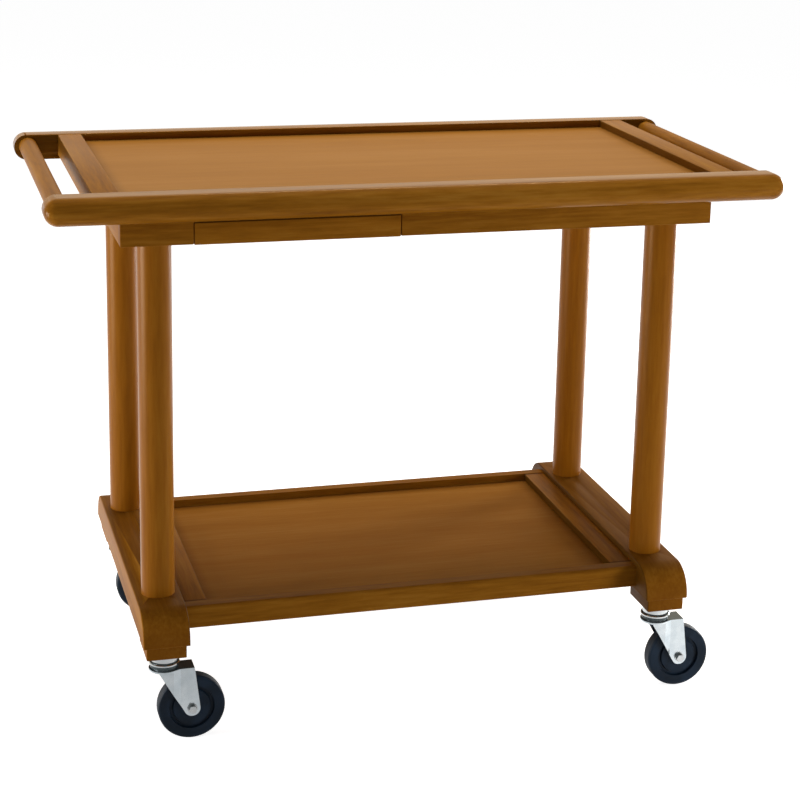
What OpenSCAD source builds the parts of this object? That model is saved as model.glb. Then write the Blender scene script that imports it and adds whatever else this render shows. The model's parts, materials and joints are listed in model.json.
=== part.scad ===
// Wooden food service trolley with two trays, a small drawer and four swivel
// casters. X runs along the length, the front is -Y, the floor is z = 0 and
// the origin is under the middle. All sizes are in millimetres.

/* [Overall] */
// Length over the rounded rail ends
top_length = 1100; // [900:1:1300]
// Depth over the two long rails
top_depth = 564; // [450:1:700]
// Height of the rail tops above the floor
total_height = 830; // [700:1:950]

/* [Top frame] */
// Height of a long rail, which is also twice the radius of its rounded edge
rail_height = 40; // [30:1:50]
// Width of a long rail from its outer edge to its flat inner face
rail_width = 46; // [42:1:60]
// Diameter of the round handle bars
handle_d = 28; // [22:1:34]
// Distance of the handle bar axis below the rail tops
handle_drop = 18.5; // [16:0.5:24]
// Distance of the handle bar axis inside the rail ends
handle_inset = 21.7; // [18:0.1:30]
// Depth of the blind socket that takes a handle bar end
handle_tenon = 14; // [8:1:20]
// Width of a flat cross rail
cross_width = 37; // [30:1:50]
// Height of a flat cross rail
cross_height = 34; // [24:1:38]
// Distance from the middle to the inner face of a cross rail
cross_inner_x = 444; // [350:1:520]
// Step from the long rails down to the cross rails
cross_step = 0.5; // [0:0.1:3]
// Depth of the tray panel below the rail tops
tray_recess = 12; // [4:1:20]
// Thickness of the tray panels
panel_thickness = 9; // [6:1:15]
// Depth of the groove that holds a panel edge
groove_depth = 8; // [4:1:10]
// Thickness of the thinned panel edge inside the groove
tongue_thickness = 6.5; // [4:0.5:9]
// Looseness of a glued or grooved joint on each side
joint_gap = 0.05; // [0.02:0.01:0.3]
// Gap between a panel's field and the rails round it
panel_gap = 0.3; // [0.1:0.1:1]

/* [Apron] */
// Height of the apron below the long rails
apron_height = 37.7; // [25:0.1:60]
// Thickness of the apron boards
apron_thickness = 20; // [12:1:25]
// Distance from the middle to the front face of the apron
apron_face_y = 241; // [200:1:270]
// Width of the cross battens that the posts meet
batten_width = 60; // [40:1:90]

/* [Drawer] */
// Distance of the drawer centre from the middle, negative is left
drawer_x = -190; // [-280:1:280]
// Width of the drawer front
drawer_width = 300; // [200:1:400]
// Gap on each side of the drawer front
drawer_gap = 1; // [0.5:0.1:3]
// Depth of the drawer from its front face to its back
drawer_depth = 380; // [200:1:420]
// Thickness of the drawer front
drawer_front_t = 18; // [12:1:22]
// Thickness of the drawer sides and back
drawer_side_t = 10; // [6:1:14]
// Height of the drawer sides
drawer_side_h = 28; // [20:1:32]
// Thickness of the drawer bottom
drawer_bottom_t = 4; // [3:1:6]

/* [Posts] */
// Diameter of a post
post_d = 50; // [35:1:60]
// Distance from the middle to a post axis along X
post_x = 389; // [300:1:450]
// Distance from the middle to a post axis along Y
post_y = 183; // [120:1:220]

/* [Base] */
// Width of a base beam
beam_width = 68.6; // [50:0.1:90]
// Height of a base beam
beam_height = 48; // [35:1:60]
// Half the length of a base beam
beam_half = 280; // [220:1:320]
// Radius of the rounded top of a beam end
beam_round = 45; // [10:1:46]
// Distance from the middle to the outer face of a beam
beam_outer_x = 424.5; // [350:0.1:500]
// Height of a foot block
foot_height = 20; // [10:1:40]
// Length of a foot block
foot_length = 75; // [60:1:110]
// Step of a foot block in from the beam sides
foot_inset_x = 5; // [0:1:12]
// Step of a foot block in from the beam end
foot_inset_y = 4.7; // [0:0.1:12]

/* [Lower tray] */
// Height of the lower tray rails
shelf_rail_h = 35; // [25:1:45]
// Width of the lower tray's long rails
shelf_rail_w = 22; // [18:1:40]
// Radius of the eased edges of the lower tray's long rails
shelf_edge_r = 5; // [1:0.5:10]
// Distance from the middle to the outer edge of the lower tray
shelf_outer_y = 233.5; // [180:0.5:270]
// Distance of the lower tray rail tops below the beam tops
shelf_drop = 7.5; // [0:0.5:20]
// Distance from the middle to the inner face of a lower cross rail
shelf_cross_x = 320.5; // [260:0.5:340]

/* [Casters] */
// Wheel diameter
wheel_d = 100; // [75:1:125]
// Wheel width
wheel_w = 22; // [18:1:32]
// Distance of the wheel axle behind the swivel axis
trail = 39; // [25:1:50]
// Distance from the middle to a swivel axis along X
swivel_x = 389; // [300:1:450]
// Distance from the middle to a swivel axis along Y
swivel_y = 239; // [180:1:270]
// Height of a whole caster from the floor to the foot block
caster_height = 142; // [110:1:160]
// Thickness of the fork sheet
fork_sheet = 2.5; // [2:0.1:4]
// Clear width between the fork legs
fork_gap = 25; // [20:1:36]
// Height of the flat fork crown above the floor
crown_z = 115; // [106:1:125]
// Distance of a leg's front bend line behind the swivel axis
bend_front_x = 11; // [6:1:16]
// Distance of a leg's back bend line behind the swivel axis
bend_back_x = 22; // [18:1:24]
// Sideways step of a leg between its two bend lines
leg_step = 5; // [0:0.5:7]
// Diameter of the axle bolt
axle_d = 8; // [6:1:12]

/* [Fastenings] */
// Shank diameter of the post bolts
bolt_d = 8; // [6:1:12]
// Shank length of the post bolts
bolt_length = 64; // [50:1:100]
// Diameter of the glued dowels
dowel_d = 8; // [6:1:10]
// Length of the glued dowels
dowel_length = 36; // [24:1:50]

/* [Part choice] */
// Part to draw, or all of them

/* [Hidden] */
$fn = 96;

// colours of the wood, the zinc plated steel and the solid tyre
wood = [0.52, 0.33, 0.15];
panel_wood = [0.60, 0.42, 0.24];
zinc = [0.72, 0.74, 0.75];
tyre = [0.10, 0.11, 0.14];

half_x = top_length / 2;
half_y = top_depth / 2;
rail_r = rail_height / 2;
rail_bottom = total_height - rail_height;
rail_inner_y = half_y - rail_width;
handle_x = half_x - handle_inset;
handle_z = total_height - handle_drop;
cross_outer_x = cross_inner_x + cross_width;
cross_top = total_height - cross_step;
panel_top = total_height - tray_recess;
panel_bottom = panel_top - panel_thickness;
apron_bottom = rail_bottom - apron_height;
apron_inner_y = apron_face_y - apron_thickness;
apron_inner_x = cross_inner_x - apron_thickness;
opening_left = drawer_x - drawer_width / 2 - drawer_gap;
opening_right = drawer_x + drawer_width / 2 + drawer_gap;

// the drawer box is narrower than its front and rides on the runner ledges
box_half = drawer_width / 2 - 12;
box_z = apron_bottom + 8;
ledge_z = box_z - 0.5;
runner_back_y = -apron_face_y + drawer_depth + 12;

base_bottom = caster_height + foot_height;
base_top = base_bottom + beam_height;
beam_inner_x = beam_outer_x - beam_width;
beam_mid_x = beam_outer_x - beam_width / 2;
post_r = post_d / 2;
foot_y0 = beam_half - foot_inset_y - foot_length;
shelf_top = base_top - shelf_drop;
shelf_bottom = shelf_top - shelf_rail_h;
shelf_inner_y = shelf_outer_y - shelf_rail_w;
shelf_panel_top = shelf_top - tray_recess;
shelf_panel_bottom = shelf_panel_top - panel_thickness;

wheel_r = wheel_d / 2;
fork_half = fork_gap / 2 + fork_sheet;
leg_r = 12;
race_r = 23;
ring_r = 18;
pin_r = 5;
bore_gap = 0.05;
bolt_head_h = 6;
bolt_head_r = 6.5;

// cuts a panel groove that runs along X in the face at y = 0, towards +Y
module groove_x(half, z) {
  translate([-half, -1, z - joint_gap])
    cube([2 * half, groove_depth + 1 + joint_gap, tongue_thickness + 2 * joint_gap]);
}

// one dowel hole along Y with its centre at the joint face
module dowel_hole_y() {
  rotate([90, 0, 0])
    cylinder(h = dowel_length + 1, r = dowel_d / 2 + joint_gap, center = true);
}

// one dowel hole along X with its centre at the joint face
module dowel_hole_x() {
  rotate([0, 90, 0])
    cylinder(h = dowel_length + 1, r = dowel_d / 2 + joint_gap, center = true);
}

// The long rail on the back side; the front rail is its mirror image. Its
// outer edge is fully rounded and each end turns over in a ball.
module long_rail() {
  difference() {
    union() {
      rotate([90, 0, 90])
        translate([0, 0, -(half_x - rail_r)])
          linear_extrude(2 * (half_x - rail_r))
            union() {
              translate([rail_inner_y, rail_bottom])
                square([rail_width - rail_r, rail_height]);
              translate([half_y - rail_r, rail_bottom + rail_r])
                circle(r = rail_r);
            }
      for (s = [-1, 1])
        translate([s * (half_x - rail_r), 0, rail_bottom + rail_r]) {
          translate([0, rail_inner_y, 0])
            rotate([-90, 0, 0])
              cylinder(h = rail_width - rail_r, r = rail_r);
          translate([0, half_y - rail_r, 0])
            sphere(r = rail_r);
        }
    }
    for (s = [-1, 1])
      translate([s * handle_x, rail_inner_y - 1, handle_z])
        rotate([-90, 0, 0])
          cylinder(h = handle_tenon + 1 + joint_gap, r = handle_d / 2 + joint_gap);
    translate([0, rail_inner_y, 0])
      groove_x(cross_inner_x + groove_depth + joint_gap, panel_bottom);
    for (s = [-1, 1])
      translate([s * (cross_inner_x + 23), rail_inner_y, cross_top - 22])
        dowel_hole_y();
  }
}

module front_rail() {
  color(wood)
    mirror([0, 1, 0]) long_rail();
}

module back_rail() {
  color(wood) long_rail();
}

// round bar between the long rails, its ends sunk in their sockets
module handle(s) {
  length = 2 * (rail_inner_y + handle_tenon);
  color(wood)
    translate([s * handle_x, 0, handle_z])
      rotate([90, 0, 0])
        cylinder(h = length, r = handle_d / 2, center = true);
}

// flat rail at one end of the tray, grooved for the panel
module cross_rail(s) {
  x0 = s > 0 ? cross_inner_x : -cross_outer_x;
  g0 = s > 0 ? cross_inner_x - 1 : -cross_inner_x - groove_depth - joint_gap;
  color(wood)
    difference() {
      translate([x0, -rail_inner_y, cross_top - cross_height])
        cube([cross_width, 2 * rail_inner_y, cross_height]);
      translate([g0, -rail_inner_y - 1, panel_bottom - joint_gap])
        cube([groove_depth + 1 + joint_gap, 2 * rail_inner_y + 2,
              tongue_thickness + 2 * joint_gap]);
      for (t = [-1, 1])
        translate([s * (cross_inner_x + 23), t * rail_inner_y, cross_top - 22])
          dowel_hole_y();
    }
}

// tray panel: a full thickness field with a thinner tongue all round
module panel(inner_x, inner_y, bottom) {
  px = inner_x + groove_depth;
  py = inner_y + groove_depth;
  fx = inner_x - panel_gap;
  fy = inner_y - panel_gap;
  translate([-px, -py, bottom])
    cube([2 * px, 2 * py, tongue_thickness]);
  translate([-fx, -fy, bottom])
    cube([2 * fx, 2 * fy, panel_thickness]);
}

module top_panel() {
  color(panel_wood)
    panel(cross_inner_x, rail_inner_y, panel_bottom);
}

// apron board along X on the back side: the outer part ends under the rail
// and the inner part reaches up to the tray panel
module apron_long(x0, x1) {
  translate([x0, apron_inner_y, apron_bottom])
    cube([x1 - x0, apron_thickness, apron_height]);
  translate([x0, apron_inner_y, rail_bottom - 1])
    cube([x1 - x0, rail_inner_y - apron_inner_y, panel_bottom - rail_bottom + 1]);
}

module apron_front_left() {
  color(wood)
    mirror([0, 1, 0]) apron_long(-cross_inner_x, opening_left);
}

module apron_front_right() {
  color(wood)
    mirror([0, 1, 0]) apron_long(opening_right, cross_inner_x);
}

module apron_back() {
  color(wood) apron_long(-cross_inner_x, cross_inner_x);
}

// apron board across one end, fitted between the long apron boards
module apron_end(s) {
  x0 = s > 0 ? apron_inner_x : -cross_inner_x;
  color(wood)
    translate([x0, -apron_inner_y, apron_bottom])
      cube([apron_thickness, 2 * apron_inner_y, panel_bottom - apron_bottom]);
}

// cross batten under the panel, bolted down into two posts
module batten(s) {
  color(wood)
    difference() {
      translate([s * post_x - batten_width / 2, -apron_inner_y, rail_bottom])
        cube([batten_width, 2 * apron_inner_y, panel_bottom - rail_bottom]);
      for (t = [-1, 1])
        translate([s * post_x, t * post_y, panel_bottom])
          mirror([0, 0, 1]) bolt_hole();
    }
}

// drawer runner: a guide hung from the panel and a ledge under the side
module runner(s) {
  length = runner_back_y + apron_inner_y;
  color(panel_wood)
    translate([drawer_x, -apron_inner_y, 0])
      rotate([90, 0, 180])
        mirror([s > 0 ? 1 : 0, 0, 0])
          linear_extrude(length)
            polygon([
              [box_half + 0.5, panel_bottom],
              [box_half + 20, panel_bottom],
              [box_half + 20, ledge_z - 6],
              [box_half - 12, ledge_z - 6],
              [box_half - 12, ledge_z],
              [box_half + 0.5, ledge_z]
            ]);
}

module drawer_front() {
  color(wood)
    translate([drawer_x - drawer_width / 2, -apron_face_y, apron_bottom - 0.8])
      cube([drawer_width, drawer_front_t, apron_height - 0.7]);
}

module drawer_side(s) {
  x0 = s > 0 ? box_half - drawer_side_t : -box_half;
  color(panel_wood)
    translate([drawer_x + x0, -apron_face_y + drawer_front_t, box_z])
      cube([drawer_side_t, drawer_depth - drawer_front_t, drawer_side_h]);
}

module drawer_back() {
  w = 2 * (box_half - drawer_side_t);
  color(panel_wood)
    translate([drawer_x - w / 2, -apron_face_y + drawer_depth - drawer_side_t, box_z])
      cube([w, drawer_side_t, drawer_side_h]);
}

module drawer_bottom() {
  w = 2 * (box_half - drawer_side_t);
  color(panel_wood)
    translate([drawer_x - w / 2, -apron_face_y + drawer_front_t, box_z + 1])
      cube([w, drawer_depth - drawer_front_t - drawer_side_t, drawer_bottom_t]);
}

// post bolt, its head's end face at z = 0 and its shank pointing up
module bolt() {
  cylinder(h = bolt_head_h, r = bolt_head_r);
  translate([0, 0, bolt_head_h - 1])
    cylinder(h = bolt_length + 1, r = bolt_d / 2);
}

// the stepped hole a post bolt fills
module bolt_hole() {
  translate([0, 0, -1])
    cylinder(h = bolt_head_h + 1, r = bolt_head_r + joint_gap);
  translate([0, 0, bolt_head_h - 1])
    cylinder(h = bolt_length + 1 + joint_gap, r = bolt_d / 2 + joint_gap);
}

module post(s, t) {
  color(wood)
    translate([s * post_x, t * post_y, 0])
      difference() {
        translate([0, 0, base_top])
          cylinder(h = rail_bottom - base_top, r = post_r);
        translate([0, 0, base_bottom]) bolt_hole();
        translate([0, 0, panel_bottom]) mirror([0, 0, 1]) bolt_hole();
      }
}

// side outline of a base beam: flat below, both top ends rounded over
module beam_outline() {
  low = beam_height - beam_round;
  translate([-beam_half, 0])
    square([2 * beam_half, low]);
  translate([-(beam_half - beam_round), 0])
    square([2 * (beam_half - beam_round), beam_height]);
  intersection() {
    union() {
      translate([-(beam_half - beam_round), low]) circle(r = beam_round);
      translate([beam_half - beam_round, low]) circle(r = beam_round);
    }
    translate([-beam_half - 1, low])
      square([2 * beam_half + 2, beam_round + 1]);
  }
}

module beam(s) {
  x0 = s > 0 ? beam_inner_x : -beam_outer_x;
  color(wood)
    difference() {
      translate([x0, 0, base_bottom])
        rotate([90, 0, 90])
          linear_extrude(beam_width) beam_outline();
      for (t = [-1, 1]) {
        translate([s * post_x, t * post_y, base_bottom]) bolt_hole();
        translate([s * swivel_x, t * swivel_y, base_bottom - 1])
          cylinder(h = 21 + joint_gap, r = pin_r + joint_gap);
        translate([s * beam_inner_x, t * (shelf_inner_y + 9), shelf_bottom + 11])
          dowel_hole_x();
        for (u = [-1, 1])
          translate([s * swivel_x, t * swivel_y + u * 28, base_bottom - 1])
            cylinder(h = 26 + joint_gap, r = 2.5 + joint_gap);
      }
    }
}

// short block under one beam end that carries a caster
module foot(s, t) {
  x0 = s > 0 ? beam_inner_x + foot_inset_x : -beam_outer_x + foot_inset_x;
  y0 = t > 0 ? foot_y0 : -foot_y0 - foot_length;
  color(wood)
    difference() {
      translate([x0, y0, caster_height])
        cube([beam_width - 2 * foot_inset_x, foot_length, foot_height]);
      translate([s * swivel_x, t * swivel_y, caster_height - 1])
        cylinder(h = foot_height + 2, r = pin_r + joint_gap);
      for (u = [-1, 1])
        translate([s * swivel_x, t * swivel_y + u * 28, caster_height]) {
          translate([0, 0, -1])
            cylinder(h = 4 + joint_gap, r = 5 + joint_gap);
          cylinder(h = foot_height + 1, r = 2.5 + joint_gap);
        }
    }
}

// lower long rail on the back side, square with eased outer edges
module shelf_long_rail() {
  r = shelf_edge_r;
  difference() {
    rotate([90, 0, 90])
      translate([0, 0, -beam_inner_x])
        linear_extrude(2 * beam_inner_x)
          union() {
            translate([shelf_inner_y, shelf_bottom])
              square([shelf_rail_w - r, shelf_rail_h]);
            translate([shelf_outer_y - r - 1, shelf_bottom + r])
              square([r + 1, shelf_rail_h - 2 * r]);
            translate([shelf_outer_y - r, shelf_bottom + r])
              circle(r = r);
            translate([shelf_outer_y - r, shelf_top - r])
              circle(r = r);
          }
    translate([0, shelf_inner_y, 0])
      groove_x(shelf_cross_x + groove_depth + joint_gap, shelf_panel_bottom);
    for (s = [-1, 1])
      translate([s * beam_inner_x, shelf_inner_y + 9, shelf_bottom + 11])
        dowel_hole_x();
  }
}

module shelf_front_rail() {
  color(wood)
    mirror([0, 1, 0]) shelf_long_rail();
}

module shelf_back_rail() {
  color(wood) shelf_long_rail();
}

module shelf_cross_rail(s) {
  w = beam_inner_x - shelf_cross_x;
  x0 = s > 0 ? shelf_cross_x : -beam_inner_x;
  g0 = s > 0 ? shelf_cross_x - 1 : -shelf_cross_x - groove_depth - joint_gap;
  color(wood)
    difference() {
      translate([x0, -shelf_inner_y, shelf_bottom + 1])
        cube([w, 2 * shelf_inner_y, shelf_rail_h - 1 - cross_step]);
      translate([g0, -shelf_inner_y - 1, shelf_panel_bottom - joint_gap])
        cube([groove_depth + 1 + joint_gap, 2 * shelf_inner_y + 2,
              tongue_thickness + 2 * joint_gap]);
    }
}

module shelf_panel() {
  color(panel_wood)
    panel(shelf_cross_x, shelf_inner_y, shelf_panel_bottom);
}

// four bolts down into the post tops and four up into their feet
module post_bolts() {
  color(zinc)
    for (s = [-1, 1], t = [-1, 1])
      translate([s * post_x, t * post_y, 0]) {
        translate([0, 0, base_bottom]) bolt();
        translate([0, 0, panel_bottom]) mirror([0, 0, 1]) bolt();
      }
}

// glued dowels of the tray corners and of the lower tray
module dowels() {
  color(panel_wood)
    for (s = [-1, 1], t = [-1, 1]) {
      translate([s * (cross_inner_x + 23), t * rail_inner_y, cross_top - 22])
        rotate([90, 0, 0])
          cylinder(h = dowel_length, r = dowel_d / 2, center = true);
      translate([s * beam_inner_x, t * (shelf_inner_y + 9), shelf_bottom + 11])
        rotate([0, 90, 0])
          cylinder(h = dowel_length, r = dowel_d / 2, center = true);
    }
}

// two wood screws through each foot block
module foot_screws() {
  color(zinc)
    for (s = [-1, 1], t = [-1, 1], u = [-1, 1])
      translate([s * swivel_x, t * swivel_y + u * 28, caster_height]) {
        cylinder(h = 3, r = 5);
        translate([0, 0, 2])
          cylinder(h = foot_height + 23, r = 2.5);
      }
}

// fixed half of a caster: bearing cap, race flange, dust seal and the pin
// through the fork crown, with its riveted end below
module stem(s, t) {
  pin_bottom = crown_z - fork_sheet - 3.5;
  color(zinc)
    translate([s * swivel_x, t * swivel_y, 0])
      rotate_extrude()
        polygon([
          [0, pin_bottom],
          [8, pin_bottom],
          [8, pin_bottom + 3],
          [pin_r, pin_bottom + 3],
          [pin_r, crown_z + 2.5],
          [20.5, crown_z + 2.5],
          [21, crown_z + 3],
          [21, crown_z + 7],
          [race_r - 1, crown_z + 7],
          [race_r, crown_z + 8],
          [race_r, crown_z + 10],
          [race_r - 1, crown_z + 11],
          [18.5, crown_z + 11],
          [18.5, crown_z + 12.5],
          [20, crown_z + 13],
          [20, caster_height],
          [pin_r, caster_height],
          [pin_r, base_bottom + 20],
          [0, base_bottom + 20]
        ]);
}

// outline of one fork leg in the XZ plane, from the swivel axis
module leg_outline() {
  c = [trail, wheel_r];
  a = [-12, crown_z];
  b = [trail + 4, crown_z];
  da = norm(a - c);
  db = norm(b - c);
  ta = atan2(a[1] - c[1], a[0] - c[0]) + acos(leg_r / da);
  tb = atan2(b[1] - c[1], b[0] - c[0]) - acos(leg_r / db);
  polygon([
    a,
    [c[0] + leg_r * cos(ta), c[1] + leg_r * sin(ta)],
    c,
    [c[0] + leg_r * cos(tb), c[1] + leg_r * sin(tb)],
    b
  ]);
  translate(c) circle(r = leg_r);
}

// one fork leg on the +Y side: the sheet steps outwards towards the swivel
module leg() {
  wide = fork_half + leg_step;
  intersection() {
    translate([0, wide, 0])
      rotate([90, 0, 0])
        linear_extrude(leg_step + fork_sheet) leg_outline();
    linear_extrude(crown_z + 1)
      polygon([
        [-40, wide],
        [bend_front_x, wide],
        [bend_back_x, fork_half],
        [80, fork_half],
        [80, fork_half - fork_sheet],
        [bend_back_x, fork_half - fork_sheet],
        [bend_front_x, wide - fork_sheet],
        [-40, wide - fork_sheet]
      ]);
  }
}

// outline of the fork crown seen from above
module crown_outline() {
  wide = fork_half + leg_step;
  circle(r = race_r);
  polygon([
    [-11.8, -wide],
    [bend_front_x, -wide],
    [bend_back_x, -fork_half],
    [trail + 4, -fork_half],
    [trail + 4, fork_half],
    [bend_back_x, fork_half],
    [bend_front_x, wide],
    [-11.8, wide]
  ]);
}

// stamped fork: flat crown with a race ring and two tapered, stepped legs
module fork(s, t) {
  color(zinc)
    translate([s * swivel_x, t * swivel_y, 0])
      difference() {
        union() {
          leg();
          mirror([0, 1, 0]) leg();
          translate([0, 0, crown_z - fork_sheet])
            linear_extrude(fork_sheet) crown_outline();
          translate([0, 0, crown_z - 5])
            cylinder(h = 7, r = ring_r);
        }
        translate([0, 0, crown_z - 6])
          cylinder(h = 6 - fork_sheet, r = ring_r - 2.5);
        translate([0, 0, crown_z - fork_sheet - 1])
          cylinder(h = fork_sheet + 4, r = pin_r + bore_gap);
        translate([trail, 0, wheel_r])
          rotate([90, 0, 0])
            cylinder(h = 2 * fork_half + 2, r = axle_d / 2 + joint_gap, center = true);
      }
}

// axle bolt with washers, its head in front and its nut behind
module axle(s, t) {
  color(zinc)
    translate([s * swivel_x + trail, t * swivel_y, wheel_r])
      rotate([90, 0, 0]) {
        translate([0, 0, -fork_half - 7])
          cylinder(h = 2 * fork_half + 7.5, r = axle_d / 2);
        translate([0, 0, fork_half])
          cylinder(h = 1, r = 7.5);
        translate([0, 0, fork_half + 0.5])
          cylinder(h = 6, r = 6.4, $fn = 6);
        translate([0, 0, -fork_half - 1])
          cylinder(h = 1, r = 7.5);
        translate([0, 0, -fork_half - 5.5])
          cylinder(h = 5, r = 6.4, $fn = 6);
      }
}

// half outline of the solid wheel, with a ring groove in both its faces
module wheel_outline() {
  h = wheel_w / 2;
  groove = wheel_r - 19;
  polygon([
    [8.05, -h],
    [14, -h],
    [16, -h + 1.8],
    [groove - 3.4, -h + 1.8],
    [groove - 2.2, -h + 5],
    [groove + 2.2, -h + 5],
    [groove + 3, -h + 0.5],
    [wheel_r - 3.5, -h],
    [wheel_r - 1.2, -h + 0.8],
    [wheel_r, -h + 3],
    [wheel_r, h - 3],
    [wheel_r - 1.2, h - 0.8],
    [wheel_r - 3.5, h],
    [groove + 3, h - 0.5],
    [groove + 2.2, h - 5],
    [groove - 2.2, h - 5],
    [groove - 3.4, h - 1.8],
    [16, h - 1.8],
    [14, h],
    [8.05, h]
  ]);
}

module wheel(s, t) {
  color(tyre)
    translate([s * swivel_x + trail, t * swivel_y, wheel_r])
      rotate([90, 0, 0])
        rotate_extrude() wheel_outline();
}

// steel bush pressed in the wheel, it turns on the axle bolt
module bush(s, t) {
  color(zinc)
    translate([s * swivel_x + trail, t * swivel_y, wheel_r])
      rotate([90, 0, 0])
        difference() {
          cylinder(h = fork_gap - 0.8, r = 8, center = true);
          cylinder(h = fork_gap + 1, r = axle_d / 2 + bore_gap, center = true);
        }
}

front_rail();
back_rail();
handle(-1);  // left_handle
handle(1);  // right_handle
cross_rail(-1);  // left_cross_rail
cross_rail(1);  // right_cross_rail
top_panel();
apron_front_left();
apron_front_right();
apron_back();
apron_end(-1);  // apron_left
apron_end(1);  // apron_right
batten(-1);  // batten_left
batten(1);  // batten_right
runner(-1);  // runner_left
runner(1);  // runner_right
drawer_front();
drawer_side(-1);  // drawer_left_side
drawer_side(1);  // drawer_right_side
drawer_back();
drawer_bottom();
post(-1, -1);  // post_fl
post(1, -1);  // post_fr
post(-1, 1);  // post_bl
post(1, 1);  // post_br
beam(-1);  // beam_left
beam(1);  // beam_right
foot(-1, -1);  // foot_fl
foot(1, -1);  // foot_fr
foot(-1, 1);  // foot_bl
foot(1, 1);  // foot_br
shelf_front_rail();
shelf_back_rail();
shelf_cross_rail(-1);  // shelf_left_rail
shelf_cross_rail(1);  // shelf_right_rail
shelf_panel();
post_bolts();
dowels();
foot_screws();
stem(-1, -1);  // stem_fl
stem(1, -1);  // stem_fr
stem(-1, 1);  // stem_bl
stem(1, 1);  // stem_br
fork(-1, -1);  // fork_fl
fork(1, -1);  // fork_fr
fork(-1, 1);  // fork_bl
fork(1, 1);  // fork_br
axle(-1, -1);  // axle_fl
axle(1, -1);  // axle_fr
axle(-1, 1);  // axle_bl
axle(1, 1);  // axle_br
wheel(-1, -1);  // wheel_fl
wheel(1, -1);  // wheel_fr
wheel(-1, 1);  // wheel_bl
wheel(1, 1);  // wheel_br
bush(-1, -1);  // bush_fl
bush(1, -1);  // bush_fr
bush(-1, 1);  // bush_bl
bush(1, 1);  // bush_br
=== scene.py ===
# Looks of the wooden service trolley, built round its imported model.
# Metres, +X to the right end, -Y to the front, the floor at z = 0.
import bpy
import json
import math
from mathutils import Matrix, Vector


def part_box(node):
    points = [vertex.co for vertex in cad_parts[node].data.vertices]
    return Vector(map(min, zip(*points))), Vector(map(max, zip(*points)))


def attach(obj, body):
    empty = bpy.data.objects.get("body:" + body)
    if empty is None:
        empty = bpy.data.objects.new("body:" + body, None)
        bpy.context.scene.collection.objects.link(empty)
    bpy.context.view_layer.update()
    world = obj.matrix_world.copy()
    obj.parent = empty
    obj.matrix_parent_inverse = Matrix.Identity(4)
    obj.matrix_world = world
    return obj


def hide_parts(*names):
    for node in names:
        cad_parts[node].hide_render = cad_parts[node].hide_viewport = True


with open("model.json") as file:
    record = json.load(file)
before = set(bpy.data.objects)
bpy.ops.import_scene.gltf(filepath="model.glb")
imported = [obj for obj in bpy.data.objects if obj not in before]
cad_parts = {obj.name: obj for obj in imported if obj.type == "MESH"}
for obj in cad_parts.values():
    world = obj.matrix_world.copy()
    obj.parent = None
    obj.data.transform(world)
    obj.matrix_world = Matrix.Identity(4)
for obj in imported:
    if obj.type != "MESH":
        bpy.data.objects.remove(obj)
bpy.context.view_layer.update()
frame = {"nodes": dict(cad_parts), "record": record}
nodes = frame["nodes"]
record = frame["record"]

X, Y, Z = 0, 1, 2


# ---- colour and shader helpers ----

def linear(hex_colour):
    """Turns an sRGB hex colour into the linear RGBA a shader takes."""
    out = []
    for start in (1, 3, 5):
        c = int(hex_colour[start:start + 2], 16) / 255
        out.append(c / 12.92 if c <= 0.04045 else ((c + 0.055) / 1.055) ** 2.4)
    return (*out, 1.0)


def add(tree, kind, settings=None, **links):
    """Adds one shader node. settings holds its properties, the values of its
    inputs by name or number, and a colour ramp's (position, hex) stops. links
    joins an input, by name or as i and its number, to another node's output."""
    node = tree.nodes.new(kind)
    for key, value in (settings or {}).items():
        if key == "stops":
            elements = node.color_ramp.elements
            while len(elements) > 1:
                elements.remove(elements[-1])
            elements[0].position, elements[0].color = value[0][0], linear(value[0][1])
            for position, colour in value[1:]:
                elements.new(position).color = linear(colour)
        elif isinstance(key, int):
            node.inputs[key].default_value = value
        elif key in node.inputs:
            socket = [each for each in node.inputs if each.name == key and each.enabled][0]
            socket.default_value = value
        else:
            setattr(node, key, value)
    for key, source in links.items():
        numbered = key[0] == "i" and key[1:].isdigit()
        target = node.inputs[int(key[1:]) if numbered else key.replace("_", " ")]
        tree.links.new(source, target)
    return node


def new_material(name):
    material = bpy.data.materials.new(name)
    material.use_nodes = True
    material.node_tree.nodes.clear()
    return material, material.node_tree


# ---- stained beech ----

# the lacquer has an amber cast, which its highlights take on
AMBER = (1.0, 0.68, 0.35, 1.0)
LACQUER_IOR = 1.5

# how dark the stain gets in the sawn ends, and two tones of painted shade:
# a softer one at field edges, joints and tops, a deeper one on inner faces and over the drawer
SAWN_TONE, PAINTED_SHADE_TONE, PAINTED_DEEP_SHADE_TONE = "#6C3F0D", "#4A2804", "#2A1602"

# the turn that lays the pattern's x along the grain, and the grain's direction
GRAIN_TURN = {"x": (0, 0, 0), "y": (0, 0, math.radians(90)), "z": (0, math.radians(90), 0)}
GRAIN_LINE = {"x": (1, 0, 0), "y": (0, 1, 0), "z": (0, 0, 1)}

# the figure is finer across the grain than along it
FIGURE_SQUEEZE, PORE_SQUEEZE = (1, 14, 14), (1, 9, 9)
# broad bands 40 mm across, streaks 5 mm across and 70 mm long
BANDS = {"Scale": 1.8, "Detail": 2.0}
STREAKS = {"Scale": 14.0, "Detail": 3.0, "Roughness": 0.6}
# pores 1 mm across, drawn coarser than real so that they show
PORES = {"Scale": 110.0, "Detail": 2.0}
STREAK_SHARE, PORE_SHARE = 0.5, 0.09


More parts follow.
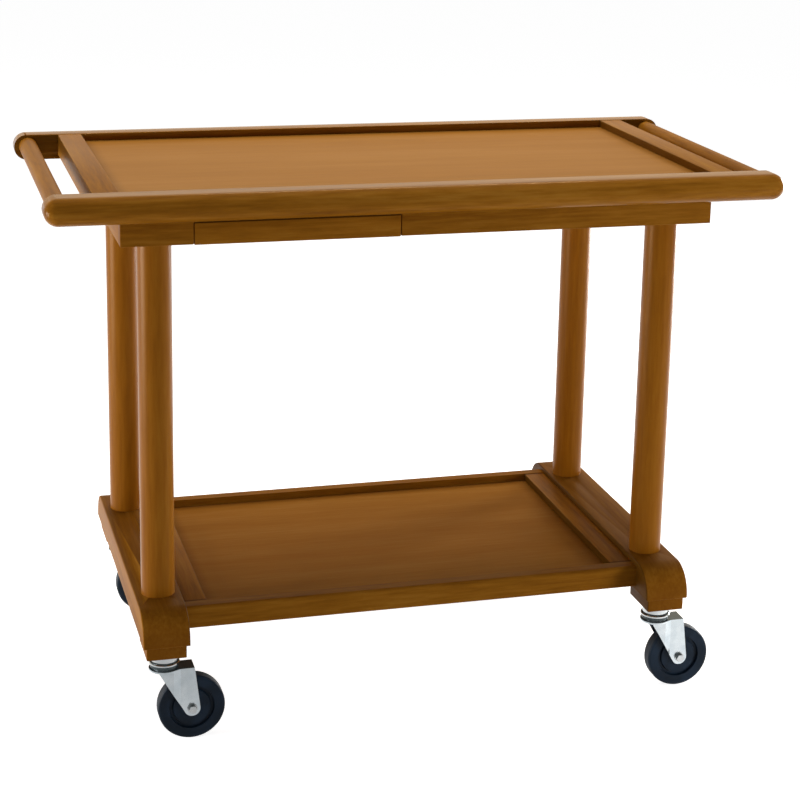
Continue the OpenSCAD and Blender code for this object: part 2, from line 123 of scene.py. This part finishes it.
def painted_shade_at_edges(tree, spot, lean, half, reach, strength):
    """Painted shade along the edges of a field with these half sizes in
    x and y, from reach inside them, where the pieces around it shade it."""
    shares = []
    for axis in (X, Y):
        out = add(tree, "ShaderNodeMath", {"operation": "ABSOLUTE"}, i0=spot.outputs[axis])
        shares.append(add(tree, "ShaderNodeMapRange", {
            "interpolation_type": "SMOOTHSTEP", "From Min": half[axis] - reach,
            "From Max": half[axis], "To Max": strength}, Value=out.outputs[0]))
    return add(tree, "ShaderNodeMath", {"operation": "MAXIMUM"}, i0=shares[0].outputs[0],
               i1=shares[1].outputs[0])


def painted_shade_on_top(tree, spot, lean, strength):
    """Painted shade on the faces that look up, which the trays above shade."""
    return add(tree, "ShaderNodeMapRange", {"From Min": 0.5, "From Max": 0.95, "To Max": strength},
               Value=lean.outputs[Z])


def painted_shadow_line_in_front(tree, spot, lean, height, strength):
    """A painted shadow line along the front face, 3 mm high with its soft edges: the shade of the gap
    over the drawer.
    """
    front = add(tree, "ShaderNodeMapRange", {"From Min": -0.6, "From Max": -0.9, "To Max": strength},
                Value=lean.outputs[Y])
    off = add(tree, "ShaderNodeMath", {"operation": "SUBTRACT", 1: height}, i0=spot.outputs[Z])
    off = add(tree, "ShaderNodeMath", {"operation": "ABSOLUTE"}, i0=off.outputs[0])
    line = add(tree, "ShaderNodeMapRange", {"From Min": 0.0019, "From Max": 0.0012},
               Value=off.outputs[0])
    return add(tree, "ShaderNodeMath", {"operation": "MULTIPLY"}, i0=line.outputs[0],
               i1=front.outputs[0])


def painted_shade_inside(tree, spot, lean, axis, start, strength):
    """Painted shade on the faces that look to the middle along axis, further out
    in x than start."""
    inward = add(tree, "ShaderNodeMath", {"operation": "MULTIPLY"}, i0=spot.outputs[axis],
                 i1=lean.outputs[axis])
    inward = add(tree, "ShaderNodeMapRange", {"From Min": -0.08, "From Max": -0.2},
                 Value=inward.outputs[0])
    out = add(tree, "ShaderNodeMath", {"operation": "ABSOLUTE"}, i0=spot.outputs[X])
    past = add(tree, "ShaderNodeMapRange", {
        "From Min": start, "From Max": start + 0.004, "To Max": strength}, Value=out.outputs[0])
    return add(tree, "ShaderNodeMath", {"operation": "MULTIPLY"}, i0=inward.outputs[0],
               i1=past.outputs[0])


def stained_wood(name, grain, tones, rough, gloss, painted_shades=()):
    """Stained and lacquered beech with its grain along one axis: streaks a few
    millimetres wide, over broad bands of tone. The sawn ends drink more stain,
    so faces across the grain are darker. The last argument lists the painted
    shade, each as a tone, one of the functions above and its values."""
    material, tree = new_material(name)
    place = add(tree, "ShaderNodeTexCoord")
    lie = add(tree, "ShaderNodeMapping", {"Rotation": GRAIN_TURN[grain]}, Vector=place.outputs["Object"])
    drawn = add(tree, "ShaderNodeMapping", {"Scale": FIGURE_SQUEEZE}, Vector=lie.outputs[0])
    fine = add(tree, "ShaderNodeMapping", {"Scale": PORE_SQUEEZE}, Vector=lie.outputs[0])
    bands = add(tree, "ShaderNodeTexNoise", BANDS, Vector=drawn.outputs[0])
    streaks = add(tree, "ShaderNodeTexNoise", STREAKS, Vector=drawn.outputs[0])
    pores = add(tree, "ShaderNodeTexNoise", PORES, Vector=fine.outputs[0])
    figure = add(tree, "ShaderNodeMix", {"data_type": "FLOAT", "Factor": STREAK_SHARE},
                 i2=bands.outputs["Fac"], i3=streaks.outputs["Fac"])
    figure = add(tree, "ShaderNodeMix", {"data_type": "FLOAT", "Factor": PORE_SHARE},
                 i2=figure.outputs[0], i3=pores.outputs["Fac"])
    colour = add(tree, "ShaderNodeValToRGB", {"stops": tones}, Fac=figure.outputs[0]).outputs[0]

    across = add(tree, "ShaderNodeVectorMath", {"operation": "DOT_PRODUCT", 1: GRAIN_LINE[grain]},
                 i0=place.outputs["Normal"])
    across = add(tree, "ShaderNodeMath", {"operation": "ABSOLUTE"}, i0=across.outputs["Value"])
    sawn = add(tree, "ShaderNodeMapRange", {"From Min": 0.6, "From Max": 1.0, "To Max": 0.7},
               Value=across.outputs[0])
    spot = add(tree, "ShaderNodeSeparateXYZ", None, Vector=place.outputs["Object"])
    lean = add(tree, "ShaderNodeSeparateXYZ", None, Vector=place.outputs["Normal"])
    darker = [(SAWN_TONE, sawn)]
    for tone, shade_mark, values in painted_shades:
        darker.append((tone, shade_mark(tree, spot, lean, **values)))
    for tone, share in darker:
        colour = add(tree, "ShaderNodeMix", {"data_type": "RGBA", "B": linear(tone)},
                     i0=share.outputs[0], i6=colour).outputs[2]

    bump = add(tree, "ShaderNodeBump", {"Strength": 0.08, "Distance": 0.0003},
               Height=pores.outputs["Fac"])
    rougher = add(tree, "ShaderNodeMapRange", {"To Min": rough - 0.03, "To Max": rough + 0.04},
                  Value=streaks.outputs["Fac"])
    shader = add(tree, "ShaderNodeBsdfPrincipled", {
        "IOR": LACQUER_IOR, "Specular IOR Level": gloss, "Specular Tint": AMBER},
        Base_Color=colour, Roughness=rougher.outputs[0], Normal=bump.outputs[0])
    add(tree, "ShaderNodeOutputMaterial", None, Surface=shader.outputs[0])
    return material


# painted shade on the faces that look to the middle
def shaded_inner_faces(axis, start, strength):
    return (PAINTED_DEEP_SHADE_TONE, painted_shade_inside, {"axis": axis, "start": start, "strength": strength})


# painted shade along the edges of a field
def shaded_field_edges(half, reach, strength):
    return (PAINTED_SHADE_TONE, painted_shade_at_edges, {"half": half, "reach": reach, "strength": strength})


# beech stained a walnut brown, with darker and lighter streaks
FRAME_TONES = [(0.34, "#75460D"), (0.5, "#8B5815"), (0.66, "#9D6A23")]
# turned posts: the same stain with less contrast between the streaks
POST_TONES = [(0.3, "#7B470C"), (0.5, "#8A5310"), (0.7, "#976119")]
# the boards of the base: a shade darker
BASE_TONES = [(0.34, "#6F420D"), (0.5, "#855414"), (0.66, "#966521")]
# veneered panels: the same stain on a paler sheet, with little figure
PANEL_TONES = [(0.3, "#925F20"), (0.5, "#9B6828"), (0.7, "#A37134")]
# unstained beech of the hidden pieces: pale straw colour
PLAIN_TONES = [(0.3, "#B08A58"), (0.5, "#C49E6C"), (0.7, "#D0AE7E")]

# half sizes of the two open fields, and the y at which the cross rails end
TOP_FIELD, SHELF_FIELD = (0.444, 0.236), (0.3205, 0.2115)
TOP_RAIL_END, SHELF_RAIL_END = 0.242, 0.2115
# further out than any piece, so that no shade is painted along x
NOWHERE = 9
# where the painted shade on the inner faces begins: past the tray on the long rails,
# and inside the cross rails and the beams
PAST_TRAY, PAST_MIDDLE = 0.47, 0.3
# the painted shadow line over the drawer, just under the rail's lower edge
DRAWER_SHADOW_LINE = 0.7842

# the long rails are rubbed to a gloss, which draws a light line on their tops
# the ends of their inner faces, past the tray, get painted shade
frame_along_x = stained_wood(
    "stained beech, grain along the length", "x", FRAME_TONES, 0.15, 0.08,
    [shaded_inner_faces(Y, PAST_TRAY, 0.45)])
# the pieces between them are satin
frame_along_y = stained_wood(
    "stained beech, grain front to back", "y", FRAME_TONES, 0.4, 0.05)
# the posts keep a soft upright sheen
frame_along_z = stained_wood(
    "stained beech, upright grain", "z", POST_TONES, 0.3, 0.15)
# the cross rails get a painted shadow line at each end, in the gap where they meet the long rails, and
# painted shade on their inner faces
cross_along_y = stained_wood(
    "stained beech, cross rails of the top", "y", FRAME_TONES, 0.4, 0.05,
    [shaded_field_edges((NOWHERE, TOP_RAIL_END), 0.009, 0.95), shaded_inner_faces(X, PAST_MIDDLE, 0.25)])
# the base and the apron have a duller coat and show less of the room
# the shelf's cross rails also get a painted shadow line at each end and painted shade on their inner
# faces
shelf_along_y = stained_wood(
    "dull stained beech, cross rails of the shelf", "y", FRAME_TONES, 0.46, 0.05,
    [shaded_field_edges((NOWHERE, SHELF_RAIL_END), 0.009, 0.95), shaded_inner_faces(X, PAST_MIDDLE, 0.7)])
base_along_x = stained_wood(
    "dull stained beech, grain along the length", "x", BASE_TONES, 0.46, 0.04)
# the drawer front gets a painted shadow line under the rail, the shade of the gap over it
drawer_face = stained_wood(
    "dull stained beech of the drawer front", "x", FRAME_TONES, 0.46, 0.04,
    [(PAINTED_DEEP_SHADE_TONE, painted_shadow_line_in_front, {"height": DRAWER_SHADOW_LINE, "strength": 0.9})])
# the beams and feet get painted shade on their tops, which the trays shade, and on their inner faces
base_along_y = stained_wood(
    "dull stained beech, grain front to back", "y", FRAME_TONES, 0.46, 0.05,
    [(PAINTED_SHADE_TONE, painted_shade_on_top, {"strength": 0.4}), shaded_inner_faces(X, PAST_MIDDLE, 0.7)])
# satin veneer, and the lower one matt, both with painted shade along their edges where the rails shade
# them
top_veneer = stained_wood(
    "stained veneer of the top tray", "x", PANEL_TONES, 0.45, 0.05,
    [shaded_field_edges(TOP_FIELD, 0.024, 0.45)])
shelf_veneer = stained_wood(
    "stained veneer of the lower tray", "x", PANEL_TONES, 0.5, 0.02,
    [shaded_field_edges(SHELF_FIELD, 0.024, 0.45)])
plain_beech = stained_wood("unstained beech", "y", PLAIN_TONES, 0.55, 0.2)


# ---- plated steel and rubber ----

# the dark tone painted as shade on level zinc faces and bolt flanks, and on the swivel head's lower band
DARK_ZINC_TONE = "#1E3338"
# the swivel head is drawn dark up to this height
SEAL_TOP, SEAL_CLEAR = 0.1217, 0.1222


def zinc_plate(name, tones, rough, dark_faces):
    """Zinc plating on steel: cool grey and slightly cloudy. The last argument names
    the faces painted dark and less metallic: "level" for the level faces round a
    swivel bearing and "flanks" for a bolt's sides, as painted shade, and "seal" for the level faces and
    the head below SEAL_TOP, drawn dark."""
    material, tree = new_material(name)
    place = add(tree, "ShaderNodeTexCoord")
    # cloudy patches 17 mm across
    cloud = add(tree, "ShaderNodeTexNoise", {"Scale": 60.0, "Detail": 3.0},
                Vector=place.outputs["Object"])
    colour = add(tree, "ShaderNodeValToRGB", {"stops": tones}, Fac=cloud.outputs["Fac"])
    dull = add(tree, "ShaderNodeMapRange", {"To Min": rough - 0.06, "To Max": rough + 0.1},
               Value=cloud.outputs["Fac"])
    # painted shade: level faces, or a bolt's flanks, take the dark tone and lose their metal
    lean = add(tree, "ShaderNodeSeparateXYZ", None, Vector=place.outputs["Normal"])
    lean = add(tree, "ShaderNodeMath", {"operation": "ABSOLUTE"},
               i0=lean.outputs[Y if dark_faces == "flanks" else Z])
    if dark_faces == "flanks":
        reach = {"From Min": 0.6, "From Max": 0.9, "To Min": 0.85, "To Max": 0.0}
    else:
        reach = {"From Min": 0.9, "From Max": 0.99, "To Max": 0.93}
    dark_share = add(tree, "ShaderNodeMapRange", reach, Value=lean.outputs[0])
    if dark_faces == "seal":
        spot = add(tree, "ShaderNodeSeparateXYZ", None, Vector=place.outputs["Object"])
        seal = add(tree, "ShaderNodeMapRange", {
            "From Min": SEAL_TOP, "From Max": SEAL_CLEAR, "To Min": 0.95, "To Max": 0.0},
            Value=spot.outputs[Z])
        dark_share = add(tree, "ShaderNodeMath", {"operation": "MAXIMUM"}, i0=dark_share.outputs[0],
                     i1=seal.outputs[0])
    dark = add(tree, "ShaderNodeMix", {"data_type": "RGBA", "B": linear(DARK_ZINC_TONE)},
               i0=dark_share.outputs[0], i6=colour.outputs[0])
    bare = add(tree, "ShaderNodeMapRange", {"To Min": 1.0, "To Max": 0.15}, Value=dark_share.outputs[0])
    shader = add(tree, "ShaderNodeBsdfPrincipled", None, Base_Color=dark.outputs[2],
                 Roughness=dull.outputs[0], Metallic=bare.outputs[0])
    add(tree, "ShaderNodeOutputMaterial", None, Surface=shader.outputs[0])
    return material


# pressed forks: bright, with soft reflections, and painted shade on their level faces
bright_zinc = zinc_plate(
    "bright zinc plated steel", [(0.3, "#C9D5DC"), (0.7, "#DFE8ED")], 0.2, "level")
# turned heads: polished, with sharp reflections, painted shade on their level faces and drawn dark below
# the seal height
swivel_plate = zinc_plate(
    "polished plate of the swivel head", [(0.3, "#CCD2D4"), (0.7, "#E2E7E9")], 0.1, "seal")
# bolts and screws: greyer, with painted shade on their flanks
bolt_steel = zinc_plate(
    "zinc plated bolt steel", [(0.3, "#C0C5C8"), (0.7, "#D6DADC")], 0.25, "flanks")


def moulded_rubber(name):
    """Hard moulded rubber: blue-black, satin, with a fine matt skin."""
    material, tree = new_material(name)
    place = add(tree, "ShaderNodeTexCoord")
    # a skin 1 mm fine, drawn coarser than real so that it shows, and dust in
    # patches 30 mm across
    skin = add(tree, "ShaderNodeTexNoise", {"Scale": 900.0, "Detail": 2.0},
               Vector=place.outputs["Object"])
    dust = add(tree, "ShaderNodeTexNoise", {"Scale": 35.0, "Detail": 4.0},
               Vector=place.outputs["Object"])
    colour = add(tree, "ShaderNodeValToRGB", {"stops": [(0.35, "#0E1924"), (0.7, "#172636")]},
                 Fac=dust.outputs["Fac"])
    bump = add(tree, "ShaderNodeBump", {"Strength": 0.15, "Distance": 0.0003},
               Height=skin.outputs["Fac"])
    shader = add(tree, "ShaderNodeBsdfPrincipled", {"Roughness": 0.5, "Specular IOR Level": 0.18},
                 Base_Color=colour.outputs[0], Normal=bump.outputs[0])
    add(tree, "ShaderNodeOutputMaterial", None, Surface=shader.outputs[0])
    return material


wheel_rubber = moulded_rubber("hard moulded rubber")


# ---- which piece takes which finish ----

WOODEN = (
    (frame_along_x, ("front_rail", "back_rail")),
    (frame_along_y, ("left_handle", "right_handle", "apron_left", "apron_right",
                     "batten_left", "batten_right")),
    (frame_along_z, ("post_fl", "post_fr", "post_bl", "post_br")),
    (cross_along_y, ("left_cross_rail", "right_cross_rail")),
    (shelf_along_y, ("shelf_left_rail", "shelf_right_rail")),
    (base_along_x, ("shelf_front_rail", "shelf_back_rail", "apron_front_left",
                    "apron_front_right", "apron_back")),
    (base_along_y, ("beam_left", "beam_right", "foot_fl", "foot_fr", "foot_bl", "foot_br")),
    (drawer_face, ("drawer_front",)),
    (top_veneer, ("top_panel",)),
    (shelf_veneer, ("shelf_panel",)),
    (plain_beech, ("runner_left", "runner_right", "drawer_left_side", "drawer_right_side",
                   "drawer_back", "drawer_bottom", "dowels")),
)
CASTER_PARTS = (("fork_", bright_zinc), ("stem_", swivel_plate), ("wheel_", wheel_rubber))


def finish_of(name):
    for material, names in WOODEN:
        if name in names:
            return material
    for start, material in CASTER_PARTS:
        if name.startswith(start):
            return material
    return bolt_steel


for name, piece in nodes.items():
    piece.data.materials.clear()
    piece.data.materials.append(finish_of(name))


# ---- wooden pieces with eased edges ----

# two points closer than this are one, and a point this close to a wall of a
# piece's box lies on it
MERGE, ON_WALL = 0.000005, 0.00001
# edges sharper than this are eased, and what is flatter shades smooth
SHARP, SMOOTH = math.radians(40), math.radians(35)
# triangles that turn less than this are one flat face
FLAT = math.radians(0.5)
# the ball ends of the long rails start past this x
RAIL_STRAIGHT = 0.529
# just inside a beam's underside, top and rounded ends
BEAM_LOW, BEAM_HIGH, BEAM_END = 0.1621, 0.2099, 0.2355


def box_edge(middle, sides):
    return sides >= 2


def rail_edge(middle, sides):
    return sides >= 2 and abs(middle.x) < RAIL_STRAIGHT


def beam_edge(middle, sides):
    return middle.z < BEAM_LOW or middle.z > BEAM_HIGH or abs(middle.y) > BEAM_END


def sharp_outline(mesh, low, high, keep):
    """Selects the sharp edges that lie on the outside of a piece's box and
    that keep() accepts by their middle and the walls they lie on."""
    bpy.ops.mesh.select_mode(type="EDGE")
    bpy.ops.mesh.select_all(action="DESELECT")
    bpy.ops.mesh.edges_select_sharp(sharpness=SHARP)
    bpy.ops.object.mode_set(mode="OBJECT")
    for edge in mesh.edges:
        if not edge.select:
            continue
        a, b = (mesh.vertices[v].co for v in edge.vertices)
        sides = sum(1 for axis in (X, Y, Z) for wall in (low[axis], high[axis])
                    if abs(a[axis] - wall) < ON_WALL and abs(b[axis] - wall) < ON_WALL)
        edge.select = sides >= 1 and keep((a + b) / 2, sides)
    for vertex in mesh.vertices:
        vertex.select = False
    for face in mesh.polygons:
        face.select = False
    bpy.ops.object.mode_set(mode="EDIT")


def eased(name, radius, keep):
    """A copy of a packed wooden piece with its outer edges rounded over."""
    bpy.ops.object.select_all(action="DESELECT")
    mesh = nodes[name].data.copy()
    piece = bpy.data.objects.new(name + "_eased", mesh)
    bpy.context.scene.collection.objects.link(piece)
    piece.select_set(True)
    bpy.context.view_layer.objects.active = piece
    low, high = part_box(name)
    bpy.ops.object.mode_set(mode="EDIT")
    bpy.ops.mesh.select_all(action="SELECT")
    bpy.ops.mesh.remove_doubles(threshold=MERGE)
    bpy.ops.mesh.dissolve_limited(angle_limit=FLAT)
    sharp_outline(mesh, low, high, keep)
    bpy.ops.mesh.bevel(offset=radius, segments=3, affect="EDGES", clamp_overlap=False)
    bpy.ops.object.mode_set(mode="OBJECT")
    bpy.ops.object.shade_smooth_by_angle(angle=SMOOTH)
    bodies = record["behaviour"]["bodies"]
    body = [body for body, names in bodies.items() if name in names][0]
    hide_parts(name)
    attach(piece, body)


# the radius, which edges take it, and the pieces
EASED = (
    (0.0012, box_edge, ("left_cross_rail", "right_cross_rail", "shelf_left_rail",
                        "shelf_right_rail")),
    (0.0010, box_edge, ("apron_front_left", "apron_front_right", "apron_back", "apron_left",
                        "apron_right", "drawer_front")),
    (0.0012, box_edge, ("foot_fl", "foot_fr", "foot_bl", "foot_br")),
    (0.0015, rail_edge, ("front_rail", "back_rail")),
    (0.0022, beam_edge, ("beam_left", "beam_right")),
)
for radius, keep, names in EASED:
    for name in names:
        eased(name, radius, keep)


# ---- floor, light and camera ----

WHITE = (1, 1, 1, 1)
# reflections see the white sweep behind and to the right, but a dim room in
# front of the trolley, so that its front keeps a deep colour
DIM = 0.1
FLOOR_BEHIND, ROOM_BEHIND = (0.35, 0.94, 0), (0.35, 0.94, -0.9)


def seen_and_mirrored(tree, path, where, behind, start, full):
    """How much of the white sweep a ray meets: all of it from the camera, and
    in a reflection from DIM in front, at start, to all of it behind, at full."""
    far = add(tree, "ShaderNodeVectorMath", {"operation": "DOT_PRODUCT", 1: behind}, i0=where)
    sweep = add(tree, "ShaderNodeMapRange", {"From Min": start, "From Max": full, "To Min": DIM},
                Value=far.outputs["Value"])
    mirrored = add(tree, "ShaderNodeMath", {"operation": "MULTIPLY"},
                   i0=path.outputs["Is Glossy Ray"], i1=sweep.outputs[0])
    return add(tree, "ShaderNodeMath", {"operation": "MAXIMUM"},
               i0=path.outputs["Is Camera Ray"], i1=mirrored.outputs[0])


bpy.ops.object.select_all(action="DESELECT")
bpy.ops.mesh.primitive_plane_add(size=60, location=(0, 0, -0.0005))
floor = bpy.context.object
floor.name = "studio_floor"
material, tree = new_material("white studio floor")
matt = add(tree, "ShaderNodeBsdfDiffuse", {"Color": (0.7, 0.7, 0.7, 1)})
lit = add(tree, "ShaderNodeEmission", {"Color": WHITE, "Strength": 0.85})
both = add(tree, "ShaderNodeAddShader", None, i0=matt.outputs[0], i1=lit.outputs[0])
path = add(tree, "ShaderNodeLightPath")
place = add(tree, "ShaderNodeTexCoord")
seen = seen_and_mirrored(tree, path, place.outputs["Object"], FLOOR_BEHIND, -0.6, 0.1)
pick = add(tree, "ShaderNodeMixShader", None, Fac=seen.outputs[0], i1=matt.outputs[0],
           i2=both.outputs[0])
add(tree, "ShaderNodeOutputMaterial", None, Surface=pick.outputs[0])
floor.data.materials.append(material)

world = bpy.data.worlds.new("studio")
bpy.context.scene.world = world
world.use_nodes = True
tree = world.node_tree
tree.nodes.clear()
path = add(tree, "ShaderNodeLightPath")
place = add(tree, "ShaderNodeTexCoord")
seen = seen_and_mirrored(tree, path, place.outputs["Generated"], ROOM_BEHIND, -0.3, 0.3)
seen = add(tree, "ShaderNodeMath", {"operation": "MAXIMUM"}, i0=seen.outputs[0],
           i1=path.outputs["Is Transmission Ray"])
soft = add(tree, "ShaderNodeBackground", {"Color": WHITE, "Strength": 0.19})
# the sweep that the lacquer mirrors is a little warm
warm = add(tree, "ShaderNodeMix", {"data_type": "RGBA", "A": WHITE, "B": (1.0, 0.89, 0.7, 1)},
           i0=path.outputs["Is Glossy Ray"])
white = add(tree, "ShaderNodeBackground", {"Strength": 1.0}, i0=warm.outputs[2])
pick = add(tree, "ShaderNodeMixShader", None, Fac=seen.outputs[0], i1=soft.outputs[0],
           i2=white.outputs[0])
add(tree, "ShaderNodeOutputWorld", None, Surface=pick.outputs[0])


def area_light(name, at, toward, size, power, mirrored=True, colour="#FFFFFF"):
    """A rectangular lamp of this power in watts, in reflections or not."""
    light = bpy.data.lights.new(name, "AREA")
    light.shape = "RECTANGLE"
    light.size, light.size_y = size
    light.energy = power
    light.color = linear(colour)[:3]
    lamp = bpy.data.objects.new(name, light)
    bpy.context.scene.collection.objects.link(lamp)
    turn = (Vector(toward) - Vector(at)).to_track_quat("-Z", "Y").to_matrix().to_4x4()
    lamp.matrix_world = Matrix.Translation(at) @ turn
    lamp.visible_glossy = mirrored


area_light("overhead softbox", (0.0, 0.5, 3.4), (0, 0, 0.5), (2.6, 2.0), 66, mirrored=False)
area_light("overhead strip", (0.65, 1.5, 2.7), (0, -0.2, 0.8), (1.2, 0.12), 15, colour="#FFD9A0")
area_light("left softbox", (-2.6, -0.1, 0.4), (0, 0, 0.4), (1.2, 0.9), 50)
area_light("right rim softbox", (3.0, 1.5, 0.7), (0, 0, 0.5), (0.8, 1.4), 95)
area_light("front right softbox", (2.0, -1.8, 0.35), (0.3, 0, 0.2), (0.8, 0.8), 31, mirrored=False)

# The camera stands where the photograph's did: its place and turn come from
# a fit of the trolley's edges.
azimuth, elevation, roll = math.radians(-16.20), math.radians(14.13), math.radians(1.30)
focal_px, centre_px, side_px = 1970.85, (426.2, 280.0), 800
sensor_mm = 36
eye = Vector((-0.7778, -2.9161, 1.3862))
back = Vector((math.sin(azimuth) * math.cos(elevation), -math.cos(azimuth) * math.cos(elevation),
               math.sin(elevation)))
right = (-back).cross(Vector((0, 0, 1))).normalized()
up = right.cross(-back)
right, up = (right * math.cos(roll) + up * math.sin(roll),
             up * math.cos(roll) - right * math.sin(roll))
lens = bpy.data.cameras.new("photo camera")
lens.sensor_width = sensor_mm
lens.lens = focal_px / side_px * sensor_mm
lens.shift_x = (side_px / 2 - centre_px[0]) / side_px
lens.shift_y = (centre_px[1] - side_px / 2) / side_px
lens.clip_end = 100
camera = bpy.data.objects.new("photo camera", lens)
camera.matrix_world = Matrix((
    (right.x, up.x, back.x, eye.x), (right.y, up.y, back.y, eye.y),
    (right.z, up.z, back.z, eye.z), (0, 0, 0, 1)))
bpy.context.scene.collection.objects.link(camera)
bpy.context.scene.camera = camera
bpy.context.scene.view_settings.view_transform = "Standard"
